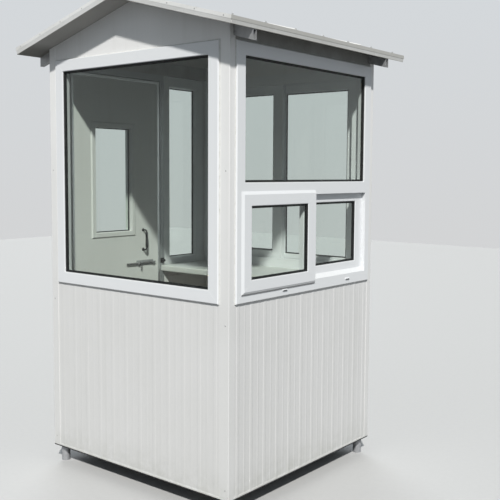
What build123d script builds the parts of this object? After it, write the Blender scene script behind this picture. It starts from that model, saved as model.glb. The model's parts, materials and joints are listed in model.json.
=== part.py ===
from build123d import *
import os

# Security guard booth, sizes in millimetres.
# The origin is on the ground under the middle of the booth, +Z up.
# The front gable faces -Y, the sliding window +X, the door -X.
# Heights named without "leg" or "floor" are above the underside of the body.

os.makedirs("parts", exist_ok=True)

# Body and legs
body_width = 1320
body_depth = 1280
leg_height = 90
leg_diameter = 48.3
leg_wall = 3.2
leg_inset = 45
foot_thickness = 4

# Wall panels with shallow raised ribs, taller and lower ones by turns
wall_thickness = 50
rib_pitch = 52
tall_rib_width = 24
low_rib_width = 14
rib_flank = 4
tall_rib_depth = 1.2
low_rib_depth = 0.6
front_rib_share = 0.5
hem_height = 10
hem_proud = 1.6
hem_slope = 2

# Corner posts and their folded trims
trim_proud = 2
trim_leg_x = 50
trim_leg_y = 38
trim_fold_radius = 2.5
post_width_x = 62
post_width_y = 42
post_skin = 2

# Base rails and floor
rail_tube_width = 40
rail_height = 60
rail_steel = 3
rail_ledge = 6
deck_thickness = 18

# Window frames, shared by all four walls
sill_height = 950
window_height = 1228
window_face = 64
window_depth = 72
fixed_depth = 48
window_proud = 10
frame_bevel = 3.5
sight_bevel = 3
glass_thickness = 5
glass_setback = 16
glass_edge = 12
seat_play = 0.3

# Glazing bead round the inner side of a fixed pane
bead_overlap = 5
bead_nose = 6
bead_depth = 26

# Sliding sashes, shared by the right and back windows
sash_face = 71
sash_meeting_face = 70
sash_thickness = 28
sash_proud = 8
sash_slope_width = 16
sash_glass_setback = 12
sash_lap = 22
sash_side_lap_width = 11
sash_lift = 3
sash_side_play = 2

# The frame round the sashes: an outer rail, a sill that slopes up behind it, and two tracks
slider_sill_face = 59
slider_side_face = 45
outer_rail = 4
track_gap = 4
sill_rise = 22
inner_channel_drop = 32
head_recess = 26
slider_head_height = 40
track_rib_width = 6
track_rib_height = 8
track_groove_play = 1

# Right window: a fixed pane over the sliding hatch
hatch_height = 451
hatch_sash_width = 607

# Back window
back_outer_sash_width = 600

# Side window beside the door
side_window_rear_width = 80

# Doorway and leaf
door_hinge_jamb = 63
door_width = 690
door_latch_jamb = 34
door_head_drop = 43
door_rebate = 15
door_flange = 20
door_gap = 5
door_flange_gap = 6
door_swing_gap = 8
door_sill_step = 4

# Light in the door
light_from_hinge = 170
light_width = 280
light_height = 620
light_bottom = 1210
light_trim = 34
light_trim_proud = 6
light_trim_slope = 8
light_sleeve = 6
light_glass_edge = 4

# Hinges
hinge_inset = 200
hinge_length = 100
hinge_plate_width = 28
hinge_plate = 2.5
hinge_pin_radius = 3.5
hinge_barrel_radius = 6.5
hinge_pin_out = 8
hinge_knuckles = 5
hinge_knuckle_gap = 0.6
hinge_pin_play = 0.3
hinge_edge_gap = 4

# Pulls
pull_height = 132
pull_reach = 38
pull_radius = 5
pull_bend = 14
pull_from_latch = 143
pull_above_sill = 199

# Barrel bolt, drawn back
bolt_above_sill = 55
bolt_radius = 5
bolt_length = 238
bolt_tip_back = 48
bolt_plate_width = 32
bolt_plate_length = 140
bolt_plate_thickness = 2.5
bolt_plate_back = 60
bolt_guide_length = 10
bolt_guide_inset = 2
bolt_guide_wall = 3
bolt_stand_off = 1.5
bolt_play = 0.5
bolt_knob_drop = 38
bolt_knob_radius = 5
bolt_knob_from_tip = 118
keeper_length = 24
keeper_plate_length = 30

# Roof
eave_overhang = 121
gable_overhang = 132
eave_height_above_frames = 34
roof_rise = 215
roof_thickness = 38
roof_cover_height = 18
roof_cover_proud = 4
ridge_cap_half_width = 90
ridge_cap_skin = 3

# Outriggers under the eaves
outrigger_height = 50
outrigger_flange = 26
outrigger_steel = 3
outrigger_reach = 115
outrigger_front_setback = 25
outrigger_back_setback = 65

# Desk
desk_behind_door = 16
desk_thickness = 38
desk_nosing_radius = 9
desk_above_sill = 25
ledger_leg = 40
ledger_steel = 4
ledger_setback = 42

# Worked out from the sizes above
half_width = body_width / 2
half_depth = body_depth / 2
base = leg_height
wall_inner = trim_proud + wall_thickness
frame_inner = window_depth - window_proud
fixed_inner = fixed_depth - window_proud
floor_top = base + rail_height + deck_thickness
wall_foot = base + rail_ledge
window_bottom = base + sill_height
window_top = window_bottom + window_height
glass_front = glass_setback - window_proud
glass_back = glass_front + glass_thickness
roof_run = half_width + eave_overhang
roof_half_length = half_depth + gable_overhang
eave_z = window_top + eave_height_above_frames
ridge_z = eave_z + roof_rise
roof_slope = (ridge_z - eave_z) / roof_run
front_window_half = half_width - post_width_x
side_window_half = half_depth - post_width_y
frame_face = -window_proud
outer_sash_front = frame_face - sash_proud
outer_sash_back = outer_sash_front + sash_thickness
inner_sash_front = outer_sash_back + track_gap
inner_sash_back = inner_sash_front + sash_thickness


def block(x0, x1, y0, y1, z0, z1):
    """A box between two corners."""
    size = (x1 - x0, y1 - y0, z1 - z0)
    middle = ((x0 + x1) / 2, (y0 + y1) / 2, (z0 + z1) / 2)
    return Pos(*middle) * Box(*size)


def rod_up(radius, z0, z1):
    """An upright cylinder on the Z axis."""
    return Pos(0, 0, z0) * Cylinder(radius, z1 - z0, align=(Align.CENTER, Align.CENTER, Align.MIN))


def rod_across(radius, x0, x1):
    """A level cylinder on the X axis."""
    return Rot(0, 90, 0) * rod_up(radius, x0, x1)


def prism_up(points, z0, z1):
    """A plan outline carried up from z0 to z1."""
    outline = make_face(Polyline(*points, close=True))
    return Pos(0, 0, z0) * extrude(outline, z1 - z0, dir=(0, 0, 1))


def prism_along_x(points, x0, x1):
    """An outline in Y and Z carried from x0 to x1."""
    corners = [(x0, y, z) for y, z in points]
    outline = make_face(Polyline(*corners, close=True))
    return extrude(outline, x1 - x0, dir=(1, 0, 0))


def prism_along_y(points, y0, y1):
    """An outline in X and Z carried from y0 to y1."""
    corners = [(x, y0, z) for x, z in points]
    outline = make_face(Polyline(*corners, close=True))
    return extrude(outline, y1 - y0, dir=(0, 1, 0))


# Every wall is drawn as the front one: u runs to the right as seen from outside,
# depth runs inward from the outer face of the corner trims.
SIDES = {
    "front": (0, half_depth),
    "right": (90, half_width),
    "back": (180, half_depth),
    "left": (270, half_width),
}


def on_side(side, shape):
    """Puts a piece that was drawn for the front wall on the named side."""
    turn, out = SIDES[side]
    return Rot(0, 0, turn) * Pos(0, -out, 0) * shape


def save(name, shape):
    """Writes one node."""
    export_step(shape, "parts/" + name + ".step")


def under_roof(shape):
    """Cuts a wall piece along the underside of the roof."""
    reach = 2 * roof_run
    low = ridge_z - roof_slope * reach
    outline = [(0, ridge_z), (reach, low), (reach, 2 * ridge_z), (-reach, 2 * ridge_z), (-reach, low)]
    return shape - prism_along_y(outline, -reach, reach)


# Base, floor and legs


def base_rail(length, tube_length):
    """A ledge under the wall, and a tube beside it that carries the floor."""
    half = length / 2
    half_tube = tube_length / 2
    tube_end = wall_inner + rail_tube_width
    ledge = block(-half, half, 0, wall_inner, base, wall_foot)
    tube = block(-half_tube, half_tube, wall_inner, tube_end, base, base + rail_height)
    bore = block(
        -half_tube, half_tube, wall_inner + rail_steel, tube_end - rail_steel,
        base + rail_steel, base + rail_height - rail_steel,
    )
    return ledge + (tube - bore)


def make_base():
    side_length = body_depth - 2 * wall_inner
    end_tube = body_width - 2 * (wall_inner + rail_tube_width)
    end_rail = on_side("front", base_rail(body_width, end_tube))
    side_rail = on_side("right", base_rail(side_length, side_length))
    save("base_rails_end", Compound(children=[end_rail, mirror(end_rail, Plane.XZ)]))
    save("base_rails_side", Compound(children=[side_rail, mirror(side_rail, Plane.YZ)]))

    reach = half_depth - wall_inner - rail_tube_width
    half = rail_tube_width / 2
    bore = half - rail_steel
    joist = block(-half, half, -reach, reach, base, base + rail_height)
    joist -= block(-bore, bore, -reach, reach, base + rail_steel, base + rail_height - rail_steel)
    save("floor_joist", joist)

    x = half_width - wall_inner
    y = half_depth - wall_inner
    save("floor_deck", block(-x, x, -y, y, base + rail_height, floor_top))


def make_legs():
    """Pipe stubs, closed at the foot, one under each corner."""
    leg = rod_up(leg_diameter / 2, 0, base)
    leg -= rod_up(leg_diameter / 2 - leg_wall, foot_thickness, base - foot_thickness)
    x = half_width - leg_inset
    y = half_depth - leg_inset
    places = [(-x, -y), (x, -y), (x, y), (-x, y)]
    save("legs", Compound(children=[Pos(*place, 0) * leg for place in places]))


# Walls


def ribbed_panel(u0, u1, z0, z1, depth_share=1):
    """A wall panel whose outer skin has shallow raised ribs, over a folded hem along its foot."""
    outer = trim_proud
    count = int((u1 - u0) / rib_pitch)
    first = (u0 + u1 - (count - 1) * rib_pitch) / 2
    points = [(u0, outer)]
    for index in range(count):
        middle = first + index * rib_pitch
        tall = index % 2 == 0
        foot = (tall_rib_width if tall else low_rib_width) / 2
        crest = foot - rib_flank
        crown = outer - depth_share * (tall_rib_depth if tall else low_rib_depth)
        points.append((middle - foot, outer))
        points.append((middle - crest, crown))
        points.append((middle + crest, crown))
        points.append((middle + foot, outer))
    points.append((u1, outer))
    points.append((u1, wall_inner))
    points.append((u0, wall_inner))
    panel = prism_up(points, z0, z1)
    hem_top = z0 + hem_height
    hem = [
        (outer - hem_proud, z0), (outer - hem_proud, hem_top - hem_slope), (outer, hem_top),
        (wall_inner, hem_top), (wall_inner, z0),
    ]
    return panel + prism_along_x(hem, u0, u1)


def behind(distance):
    """The place along the left wall of a point that far behind the front face."""
    return half_depth - distance


# The doorway, as distances behind the front face
leaf_start = post_width_y + door_hinge_jamb + door_gap
leaf_end = leaf_start + door_width
doorway_end = leaf_end + door_swing_gap + door_latch_jamb


def make_walls():
    x = front_window_half
    y = side_window_half
    shallow = ribbed_panel(-x, x, wall_foot, window_bottom, front_rib_share)
    save("wall_front", on_side("front", shallow))
    save("wall_back", on_side("back", ribbed_panel(-x, x, wall_foot, window_bottom)))
    save("wall_right", on_side("right", ribbed_panel(-y, y, wall_foot, window_bottom)))
    beside_door = ribbed_panel(-y, behind(doorway_end), wall_foot, window_bottom)
    save("wall_left", on_side("left", beside_door))

    over = ridge_z + roof_thickness
    for side in ("front", "back"):
        gable = block(-x, x, trim_proud, wall_inner, window_top, over)
        save("gable_" + side, under_roof(on_side(side, gable)))
    for side in ("left", "right"):
        header = block(-y, y, trim_proud, wall_inner, window_top, over)
        save("header_" + side, under_roof(on_side(side, header)))


def make_corner_posts():
    """A hollow post between two panels, with a folded trim round its outer corner."""
    outline = [
        (0, 0),
        (trim_leg_x, 0),
        (trim_leg_x, trim_proud),
        (post_width_x, trim_proud),
        (post_width_x, post_width_y),
        (trim_proud, post_width_y),
        (trim_proud, trim_leg_y),
        (0, trim_leg_y),
    ]
    skin = trim_proud + post_skin
    section = make_face(Polyline(*outline, close=True))
    fold = section.vertices().sort_by_distance((0, 0, 0))[0]
    section = Pos(0, 0, wall_foot) * fillet(fold, trim_fold_radius)
    post = extrude(section, ridge_z - wall_foot, dir=(0, 0, 1))
    post -= block(skin, post_width_x - post_skin, skin, post_width_y - post_skin, wall_foot, ridge_z)
    front_left = under_roof(Pos(-half_width, -half_depth, 0) * post)
    front_right = mirror(front_left, Plane.YZ)
    save("corner_post_front_left", front_left)
    save("corner_post_front_right", front_right)
    save("corner_post_back_left", mirror(front_left, Plane.XZ))
    save("corner_post_back_right", mirror(front_right, Plane.XZ))


# Windows


def stepped(outline, section):
    """A solid whose upright outline grows with depth as section says, in (depth, growth) steps."""
    u0, u1, z0, z1 = outline
    solid = Part()
    for (near, near_growth), (far, far_growth) in zip(section, section[1:]):
        if near == far:
            continue
        ends = []
        for depth, growth in ((near, near_growth), (far, far_growth)):
            centre = ((u0 + u1) / 2, depth, (z0 + z1) / 2)
            plane = Plane(origin=centre, x_dir=(1, 0, 0), z_dir=(0, -1, 0))
            ends.append(plane * Rectangle(u1 - u0 + 2 * growth, z1 - z0 + 2 * growth))
        solid += loft(ends)
    return solid


def frame_blank(u0, u1, z0, z1, back):
    """The outside of a frame, with a bevel round its face."""
    section = [(frame_face, -frame_bevel), (frame_face + frame_bevel, 0), (back, 0)]
    return stepped((u0, u1, z0, z1), section)


def inside(face, u0, u1, z0, z1):
    """The outline that a frame member of that width leaves open."""
    return u0 + face, u1 - face, z0 + face, z1 - face


def glazed_hole(opening):
    """The bevelled opening of a fixed pane, with the groove that holds the glass and its bead."""
    bead_back = glass_back + bead_depth
    section = [
        (frame_face, sight_bevel),
        (frame_face + sight_bevel, 0),
        (glass_front, 0),
        (glass_front, glass_edge),
        (glass_back, glass_edge),
        (glass_back, -bead_overlap),
        (glass_back + bead_nose, -bead_overlap),
        (bead_back, 0),
        (fixed_inner, 0),
    ]
    return stepped(opening, section)


def pane(opening, front, edge):
    """A sheet of glass that fills its groove but for a little play at its edges."""
    reach = edge - seat_play
    return stepped(opening, [(front, reach), (front + glass_thickness, reach)])


def fixed_light(u0, u1, z0, z1):
    """A fixed frame, less deep than a slider's, and its pane."""
    opening = inside(window_face, u0, u1, z0, z1)
    frame = frame_blank(u0, u1, z0, z1, fixed_inner) - glazed_hole(opening)
    return frame, pane(opening, glass_front, glass_edge)


def sash_ring(outline, faces, front, lap_section):
    """A sash of one plastic section: the frame that lap_section grows from, less sight and grooves."""
    u0, u1, z0, z1 = outline
    left, right = faces
    opening = (u0 + left, u1 - right, z0 + sash_face, z1 - sash_face)
    back = front + sash_thickness
    glass = front + sash_glass_setback
    ring = stepped(outline, lap_section)
    ring -= stepped(opening, [
        (front, sight_bevel),
        (front + sight_bevel, 0),
        (glass, 0),
        (glass, glass_edge),
        (glass + glass_thickness, glass_edge),
        (glass + glass_thickness, -bead_overlap),
        (back, 0),
    ])
    return ring, pane(opening, glass, glass_edge)


def outer_sash(u0, u1, z0, z1):
    """The sash in front: its bevelled flange laps the frame, and its body stands behind the rail.

    The box is the flange's, and u1 is the meeting side, which has no bevel."""
    front = outer_sash_front
    wide = (u0, u1 + sash_slope_width, z0, z1)
    flange_section = [(front, -sash_slope_width), (frame_face - seat_play, 0)]
    faces = (sash_face, sash_meeting_face + sash_slope_width)
    ring, glass = sash_ring(wide, faces, front, flange_section + [(outer_sash_back, 0)])
    body_low = z0 + sash_lap + sill_rise + sash_lift - track_gap / 2
    body_high = z1 - sash_lap - sash_lift
    body_start = u0 + sash_side_lap_width + sash_side_play
    behind_lap = frame_face - seat_play
    around = block(u0, u1 + sash_slope_width, behind_lap, outer_sash_back, z0, z1)
    around -= block(body_start, u1, behind_lap, outer_sash_back, body_low, body_high)
    ring -= around
    ring -= block(u1, u1 + sash_slope_width, front, outer_sash_back, z0, z1)
    return ring, glass


def inner_sash(u0, u1, z0, z1):
    """The sash behind, with u0 its meeting side, which stands in its channel over a track rib."""
    section = [
        (inner_sash_front, -sight_bevel), (inner_sash_front + sight_bevel, 0), (inner_sash_back, 0),
    ]
    faces = (sash_meeting_face, sash_face)
    ring, glass = sash_ring((u0, u1, z0, z1), faces, inner_sash_front, section)
    middle = inner_sash_front + sash_thickness / 2
    half_groove = track_rib_width / 2 + track_groove_play
    groove_top = z0 - sash_lift + track_rib_height + track_groove_play
    ring -= block(u0, u1, middle - half_groove, middle + half_groove, z0, groove_top)
    return ring, glass


def slider_void(u0, u1, low, high):
    """The room for two sashes between the outer rail and the inner rail, over a sloped sill."""
    slope_foot = low
    slope_top = low + sill_rise
    channel_floor = slope_top - inner_channel_drop
    channel_front = inner_sash_front - seat_play
    channel_back = inner_sash_back + track_gap
    recess_top = high + head_recess
    outline = [
        (frame_face, slope_foot),
        (frame_face + outer_rail, slope_foot),
        (channel_front, slope_top),
        (channel_front, channel_floor),
        (channel_back, channel_floor),
        (channel_back, slope_top),
        (frame_inner, slope_top),
        (frame_inner, high),
        (channel_back, high),
        (channel_back, recess_top),
        (frame_face + outer_rail, recess_top),
        (frame_face + outer_rail, high),
        (frame_face, high),
    ]
    return prism_along_x(outline, u0, u1)


def track_rib(u0, u1, low):
    """The rib that the inner sash rides on."""
    middle = inner_sash_front + sash_thickness / 2
    half = track_rib_width / 2
    floor = low + sill_rise - inner_channel_drop
    return block(u0, u1, middle - half, middle + half, floor, floor + track_rib_height)


def inner_sash_heights(low, high):
    """The foot and head of an inner sash between a slider's sill and head."""
    return low + sill_rise - inner_channel_drop + sash_lift, high + head_recess - sash_lift


def make_front_window():
    u = front_window_half
    frame, glass = fixed_light(-u, u, window_bottom, window_top)
    save("front_window_frame", on_side("front", frame))
    save("front_window_glass", on_side("front", glass))


def make_right_window():
    u = side_window_half
    low = window_bottom + slider_sill_face
    high = low + hatch_height
    side = u - slider_side_face
    upper = inside(window_face, -u, u, high, window_top)
    frame = frame_blank(-u, u, window_bottom, window_top, frame_inner)
    frame -= block(-u, u, fixed_inner, frame_inner, high + slider_head_height, window_top)
    frame -= glazed_hole(upper)
    frame -= slider_void(-side, side, low, high)
    frame += track_rib(-side, side, low)
    save("right_window_frame", on_side("right", frame))
    save("right_window_glass", on_side("right", pane(upper, glass_front, glass_edge)))

    near = -side - sash_side_lap_width
    meeting = near + hatch_sash_width
    front_sash, front_pane = outer_sash(near, meeting, low - sash_lap, high + sash_lap)
    z0, z1 = inner_sash_heights(low, high)
    far = side - seat_play
    rear_sash, rear_pane = inner_sash(meeting - sash_meeting_face, far, z0, z1)
    save("hatch_sash_front", on_side("right", front_sash))
    save("hatch_sash_rear", on_side("right", rear_sash))
    save("hatch_glass", on_side("right", Compound(children=[front_pane, rear_pane])))


def make_back_window():
    """The same sliding section at full height."""
    u = front_window_half
    low = window_bottom + slider_sill_face
    high = window_top - window_face
    side = u - slider_side_face
    frame = frame_blank(-u, u, window_bottom, window_top, frame_inner)
    frame -= slider_void(-side, side, low, high)
    frame += track_rib(-side, side, low)
    save("back_window_frame", on_side("back", frame))

    near = -side - sash_side_lap_width
    meeting = near + back_outer_sash_width
    outer, outer_pane = outer_sash(near, meeting, low - sash_lap, high + sash_lap)
    z0, z1 = inner_sash_heights(low, high)
    far = side - seat_play
    inner, inner_pane = inner_sash(meeting - sash_meeting_face, far, z0, z1)
    save("back_sashes", on_side("back", Compound(children=[outer, inner])))
    save("back_window_glass", on_side("back", Compound(children=[outer_pane, inner_pane])))


def make_side_window():
    """A fixed light beside the door, with a packing strip down its rear side."""
    u0 = -side_window_half
    u1 = behind(doorway_end)
    strip = side_window_rear_width - window_face
    frame, glass = fixed_light(u0 + strip, u1, window_bottom, window_top)
    frame += block(u0, u0 + strip + frame_bevel, trim_proud, fixed_inner, window_bottom, window_top)
    save("side_window_frame", on_side("left", frame))
    save("side_window_glass", on_side("left", glass))


# Door. The leaf has an outer flange that laps the rebated frame all round.

door_step = trim_proud + door_flange + door_gap
door_foot = floor_top + door_sill_step
leaf_bottom = door_foot + door_flange_gap
leaf_top = window_top - door_head_drop


def left_block(start, end, depth0, depth1, z0, z1):
    """A box on the left wall between two distances behind the front face."""
    return block(behind(end), behind(start), depth0, depth1, z0, z1)


def make_door_frame():
    hinge_inner = leaf_start - door_gap
    hinge_outer = leaf_start - door_rebate - door_flange_gap
    latch_inner = leaf_end + door_swing_gap
    latch_outer = leaf_end + door_rebate + door_flange_gap
    head_inner = leaf_top + door_gap
    head_outer = leaf_top + door_rebate + door_flange_gap
    sill_outer = leaf_bottom - door_rebate - door_flange_gap
    z0 = wall_foot
    z1 = window_top

    hinge_jamb = left_block(post_width_y, hinge_outer, trim_proud, door_step, z0, z1)
    hinge_jamb += left_block(post_width_y, hinge_inner, door_step, wall_inner, z0, z1)
    latch_jamb = left_block(latch_outer, doorway_end, trim_proud, door_step, z0, z1)
    latch_jamb += left_block(latch_inner, doorway_end, door_step, wall_inner, z0, z1)
    head = left_block(hinge_outer, latch_outer, trim_proud, door_step, head_outer, z1)
    head += left_block(hinge_inner, latch_inner, door_step, wall_inner, head_inner, z1)
    sill = left_block(hinge_outer, latch_outer, trim_proud, door_step, z0, sill_outer)
    sill += left_block(hinge_inner, latch_inner, door_step, wall_inner, z0, door_foot)
    save("door_jamb_hinge", on_side("left", hinge_jamb))
    save("door_jamb_latch", on_side("left", latch_jamb))
    save("door_head", on_side("left", head))
    save("door_sill", on_side("left", sill))


def make_door_leaf():
    flange_inner = trim_proud + door_flange
    rim = door_rebate
    leaf = left_block(
        leaf_start - rim, leaf_end + rim, trim_proud, flange_inner, leaf_bottom - rim, leaf_top + rim,
    )
    leaf += left_block(leaf_start, leaf_end, flange_inner, wall_inner, leaf_bottom, leaf_top)

    y0 = leaf_start + light_from_hinge
    y1 = y0 + light_width
    z0 = base + light_bottom
    z1 = z0 + light_height
    sleeve = light_sleeve
    leaf -= left_block(y0 - sleeve, y1 + sleeve, 0, wall_inner, z0 - sleeve, z1 + sleeve)
    save("door_leaf", on_side("left", leaf))

    light = (behind(y1), behind(y0), z0, z1)
    outer_face = trim_proud - light_trim_proud
    inner_face = wall_inner + light_trim_proud
    flat = light_trim - light_trim_slope
    middle = (trim_proud + wall_inner - glass_thickness) / 2
    edge = light_glass_edge
    surround = stepped(light, [
        (outer_face, flat),
        (trim_proud, light_trim),
        (trim_proud, sleeve),
        (wall_inner, sleeve),
        (wall_inner, light_trim),
        (inner_face, flat),
    ])
    surround -= stepped(light, [
        (outer_face, sight_bevel),
        (outer_face + sight_bevel, 0),
        (middle, 0),
        (middle, edge),
        (middle + glass_thickness, edge),
        (middle + glass_thickness, 0),
        (inner_face - sight_bevel, 0),
        (inner_face, sight_bevel),
    ])
    save("door_light_frame", on_side("left", surround))
    save("door_light_glass", on_side("left", pane(light, middle, edge)))


def make_hinges():
    """Butt hinges whose pins stand outside the leaf, with knuckles taken turn about."""
    pin_depth = trim_proud - hinge_pin_out
    pin_line = leaf_start - door_rebate - door_flange_gap / 2
    plate_face = trim_proud - hinge_plate
    jamb_edge = pin_line - hinge_edge_gap
    leaf_edge = pin_line + hinge_edge_gap
    pin = Pos(behind(pin_line), pin_depth, 0)
    pitch = hinge_length / hinge_knuckles
    frame_side = []
    door_side = []
    lowest = leaf_bottom + hinge_inset
    highest = leaf_top - hinge_inset
    for height in (lowest, (lowest + highest) / 2, highest):
        low = height - hinge_length / 2
        high = low + hinge_length
        fixed = left_block(jamb_edge - hinge_plate_width, jamb_edge, plate_face, trim_proud, low, high)
        moving = left_block(leaf_edge, leaf_edge + hinge_plate_width, plate_face, trim_proud, low, high)
        fixed += pin * rod_up(hinge_pin_radius, low, high)
        for index in range(hinge_knuckles):
            z0 = low + index * pitch + hinge_knuckle_gap / 2
            z1 = low + (index + 1) * pitch - hinge_knuckle_gap / 2
            knuckle = pin * rod_up(hinge_barrel_radius, z0, z1)
            if index % 2 == 0:
                edge = pin_line - hinge_barrel_radius
                fixed += knuckle + left_block(edge, jamb_edge, pin_depth, trim_proud, z0, z1)
            else:
                edge = pin_line + hinge_barrel_radius
                knuckle += left_block(leaf_edge, edge, pin_depth, trim_proud, z0, z1)
                bore = hinge_pin_radius + hinge_pin_play
                moving += knuckle - pin * rod_up(bore, z0, z1)
        frame_side.append(fixed)
        door_side.append(moving)
    save("hinge_frame_plates", on_side("left", Compound(children=frame_side)))
    save("hinge_door_plates", on_side("left", Compound(children=door_side)))


def make_pulls():
    """A bent D pull on each face of the leaf."""
    centre = window_bottom + pull_above_sill
    z0 = centre - pull_height / 2 + pull_radius
    z1 = centre + pull_height / 2 - pull_radius
    reach = pull_reach - pull_radius
    u = behind(leaf_end - pull_from_latch)
    pulls = []
    for face, way in ((wall_inner, 1), (trim_proud, -1)):
        points = [(u, face, z0), (u, face + way * reach, z0), (u, face + way * reach, z1), (u, face, z1)]
        path = FilletPolyline(*points, radius=pull_bend)
        start = Plane(origin=points[0], x_dir=(1, 0, 0), z_dir=(0, way, 0))
        pulls.append(sweep(start * Circle(pull_radius), path=path))
    save("door_pulls", on_side("left", Compound(children=pulls)))


def make_bolt():
    """A barrel bolt on the inside of the leaf, drawn back from its keeper on the jamb."""
    z = window_bottom + bolt_above_sill
    plate_back = wall_inner + bolt_plate_thickness
    rod_depth = plate_back + bolt_stand_off + bolt_radius
    guide_half = bolt_radius + bolt_play + bolt_guide_wall
    half_plate = bolt_plate_width / 2
    bore_radius = bolt_radius + bolt_play

    def guide(start, end):
        saddle = Pos(0, rod_depth, z) * rod_across(guide_half, behind(end), behind(start))
        return saddle + left_block(start, end, plate_back, rod_depth, z - guide_half, z + guide_half)

    def bore(start, end):
        line = Pos(0, rod_depth, z)
        return line * rod_across(bore_radius, behind(end), behind(start))

    plate_end = leaf_end - bolt_plate_back
    plate_start = plate_end - bolt_plate_length
    body = left_block(plate_start, plate_end, wall_inner, plate_back, z - half_plate, z + half_plate)
    for start in (plate_start + bolt_guide_inset, plate_end - bolt_guide_inset - bolt_guide_length):
        body += guide(start, start + bolt_guide_length)
    body -= bore(plate_start, plate_end)
    save("door_bolt_body", on_side("left", body))

    tip = leaf_end - bolt_tip_back
    rod = Pos(0, rod_depth, z) * rod_across(bolt_radius, behind(tip), behind(tip - bolt_length))
    knob = Pos(behind(tip - bolt_knob_from_tip), rod_depth, 0)
    rod += knob * rod_up(bolt_knob_radius, z - bolt_knob_drop, z)
    save("door_bolt_rod", on_side("left", rod))

    keeper_start = leaf_end + door_swing_gap + (door_latch_jamb - keeper_plate_length) / 2
    keeper_end = keeper_start + keeper_plate_length
    inset = (keeper_plate_length - keeper_length) / 2
    keeper = left_block(keeper_start, keeper_end, wall_inner, plate_back, z - half_plate, z + half_plate)
    keeper += guide(keeper_start + inset, keeper_end - inset)
    keeper -= bore(keeper_start, keeper_end)
    save("door_bolt_keeper", on_side("left", keeper))


# Roof


def below_roof(x0, x1, low, high):
    """An outline that follows the roof's underside from x0 to x1, between two heights over it."""
    under0 = ridge_z - roof_slope * x0
    under1 = ridge_z - roof_slope * x1
    return [(x0, under0 + low), (x1, under1 + low), (x1, under1 + high), (x0, under0 + high)]


def make_roof():
    """Two panels under a cover whose folded edges stand proud of them all round."""
    cover_low = roof_thickness - roof_cover_height
    panel_end = roof_run - roof_cover_proud
    panel_half = roof_half_length - roof_cover_proud
    y = roof_half_length
    right = prism_along_y(below_roof(0, panel_end, 0, cover_low), -panel_half, panel_half)
    right += prism_along_y(below_roof(0, roof_run, cover_low, roof_thickness), -y, y)
    save("roof_panel_right", right)
    save("roof_panel_left", mirror(right, Plane.YZ))

    top = ridge_z + roof_thickness
    half = ridge_cap_half_width
    edge = top - roof_slope * half
    skin = ridge_cap_skin
    cap = [(0, top), (half, edge), (half, edge + skin), (0, top + skin), (-half, edge + skin), (-half, edge)]
    save("ridge_cap", prism_along_y(cap, -y, y))


def make_outriggers():
    """Channel stubs open to the back that follow the roof out from the walls and hold up the eaves."""
    steel = outrigger_steel
    high = -seat_play
    low = high - outrigger_height
    x1 = half_width + outrigger_reach
    front = (-half_depth + outrigger_front_setback, half_width)
    back = (half_depth - outrigger_back_setback, half_width - trim_proud)
    channels = []
    for y, x0 in (front, back):
        channel = prism_along_y(below_roof(x0, x1, low, high), y, y + outrigger_flange)
        room = below_roof(x0, x1, low + steel, high - steel)
        channel -= prism_along_y(room, y + steel, y + outrigger_flange)
        channels.append(channel)
        channels.append(mirror(channel, Plane.YZ))
    save("outriggers", Compound(children=channels))


# Desk


def make_desk():
    wall = half_width - wall_inner
    x1 = half_width - frame_inner
    y0 = leaf_end + desk_behind_door - half_depth
    y1 = half_depth - frame_inner
    top = window_bottom + desk_above_sill
    low = top - desk_thickness
    board = block(-wall, x1, y0, y1, low, top)
    nosing = board.edges().filter_by(Axis.X).group_by(Axis.Y)[0]
    save("desk_top", fillet(nosing, desk_nosing_radius))

    front = y0 + ledger_setback
    ledger = block(wall - ledger_steel, wall, front, y1, low - ledger_leg, low)
    ledger += block(wall - ledger_leg, wall, front, y1, low - ledger_steel, low)
    save("desk_ledgers", Compound(children=[ledger, mirror(ledger, Plane.YZ)]))


make_base()
make_legs()
make_walls()
make_corner_posts()
make_front_window()
make_right_window()
make_back_window()
make_side_window()
make_door_frame()
make_door_leaf()
make_hinges()
make_pulls()
make_bolt()
make_roof()
make_outriggers()
make_desk()
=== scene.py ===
import json
import math

import bmesh
import bpy
from mathutils import Matrix, Vector


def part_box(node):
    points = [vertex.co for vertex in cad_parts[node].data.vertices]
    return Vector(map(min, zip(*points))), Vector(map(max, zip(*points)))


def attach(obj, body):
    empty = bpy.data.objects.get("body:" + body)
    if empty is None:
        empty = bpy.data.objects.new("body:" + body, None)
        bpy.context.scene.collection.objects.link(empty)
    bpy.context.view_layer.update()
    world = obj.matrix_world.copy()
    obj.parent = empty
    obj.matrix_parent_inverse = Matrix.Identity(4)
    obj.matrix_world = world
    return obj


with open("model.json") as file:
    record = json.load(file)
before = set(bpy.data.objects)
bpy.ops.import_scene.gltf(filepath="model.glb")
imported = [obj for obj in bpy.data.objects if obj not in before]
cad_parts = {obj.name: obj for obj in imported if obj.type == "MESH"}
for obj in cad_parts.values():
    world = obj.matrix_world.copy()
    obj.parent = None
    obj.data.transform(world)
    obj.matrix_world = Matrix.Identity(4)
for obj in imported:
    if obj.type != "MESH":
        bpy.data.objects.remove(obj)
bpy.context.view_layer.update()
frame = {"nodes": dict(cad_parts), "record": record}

scene = bpy.context.scene
scene.view_settings.view_transform = "Standard"

MM = 0.001

# Places of the frame's main faces
POST_LOW, POST_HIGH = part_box("corner_post_front_right")
HALF_WIDTH = POST_HIGH[0]
HALF_DEPTH = -POST_LOW[1]
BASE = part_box("base_rails_end")[0][2]
ROOF_LOW, ROOF_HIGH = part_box("roof_panel_right")
CAP_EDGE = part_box("ridge_cap")[1][0]

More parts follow.
